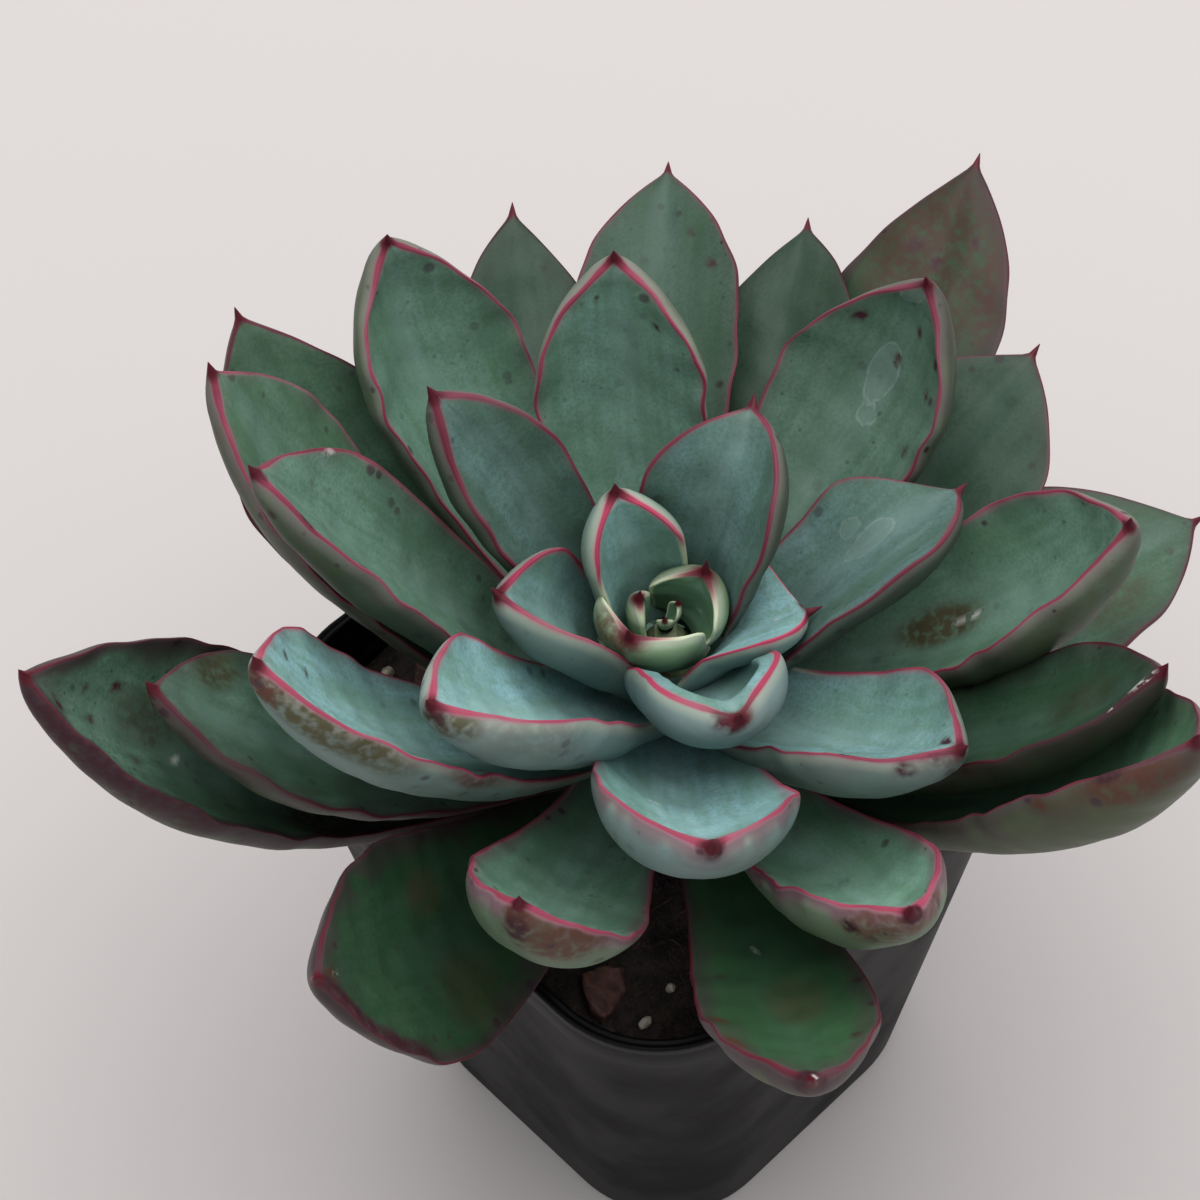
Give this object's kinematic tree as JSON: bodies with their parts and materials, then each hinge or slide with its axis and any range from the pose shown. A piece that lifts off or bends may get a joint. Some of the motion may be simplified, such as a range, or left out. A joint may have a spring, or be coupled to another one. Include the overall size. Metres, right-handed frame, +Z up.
{
  "type": "potted succulent",
  "caption": "Rosette of fleshy pointed leaves on a short stem, rooted in soil in a small square tapered nursery pot with a collar rim.",
  "frame": {"origin": "on the ground under the middle of the square pot", "axes": "+Z up; the pot's sides run along X and Y, and the corner at -X -Y is the plant's front, the one nearest the camera in the picture"},
  "size_m": [0.1353, 0.1167, 0.1379],
  "materials": {
    "pot_plastic": "matt black moulded plastic, dusty",
    "soil": "moist dark peaty soil with fibres",
    "stem": "pale green to corky",
    "leaf_young": "waxy bloom over pale green, cream and pink-red margins",
    "leaf_grown": "waxy bloom over blue-green, pink-red margins and dark tips",
    "leaf_old": "deeper green with little bloom, purple-brown margins and specks",
    "bark": "rough red-brown bark",
    "perlite": "dull off-white grain"
  },
  "bodies": {
    "root": {"pot": "pot_plastic", "soil": "soil", "stem": "stem", "growing_tip": "leaf_young", "heart_leaf_1": "leaf_young", "heart_leaf_2": "leaf_young", "heart_leaf_3": "leaf_young", "heart_leaf_4": "leaf_young", "inner_leaf_1": "leaf_young", "inner_leaf_2": "leaf_young", "inner_leaf_3": "leaf_young", "inner_leaf_4": "leaf_young", "middle_leaf_1": "leaf_grown", "middle_leaf_2": "leaf_grown", "middle_leaf_3": "leaf_grown", "middle_leaf_4": "leaf_grown", "middle_leaf_5": "leaf_grown", "middle_leaf_6": "leaf_grown", "outer_leaf_1": "leaf_grown", "outer_leaf_2": "leaf_grown", "outer_leaf_3": "leaf_grown", "outer_leaf_4": "leaf_grown", "outer_leaf_5": "leaf_grown", "outer_leaf_6": "leaf_grown", "outer_leaf_7": "leaf_grown", "outer_leaf_8": "leaf_grown", "outer_leaf_9": "leaf_grown", "outer_leaf_10": "leaf_grown", "outer_leaf_11": "leaf_grown", "lowest_leaf_1": "leaf_old", "lowest_leaf_2": "leaf_old", "lowest_leaf_3": "leaf_old", "lowest_leaf_4": "leaf_old", "lowest_leaf_5": "leaf_old", "lowest_leaf_6": "leaf_old", "lowest_leaf_7": "leaf_old", "lowest_leaf_8": "leaf_old", "lowest_leaf_9": "leaf_old", "lowest_leaf_10": "leaf_old", "lowest_leaf_11": "leaf_old", "bark_chip_1": "bark", "bark_chip_2": "bark", "bark_chip_3": "bark", "bark_chip_4": "bark", "bark_chip_5": "bark", "bark_chip_6": "bark", "perlite_1": "perlite", "perlite_2": "perlite", "perlite_3": "perlite", "perlite_4": "perlite", "perlite_5": "perlite"}
  },
  "joints": []
}
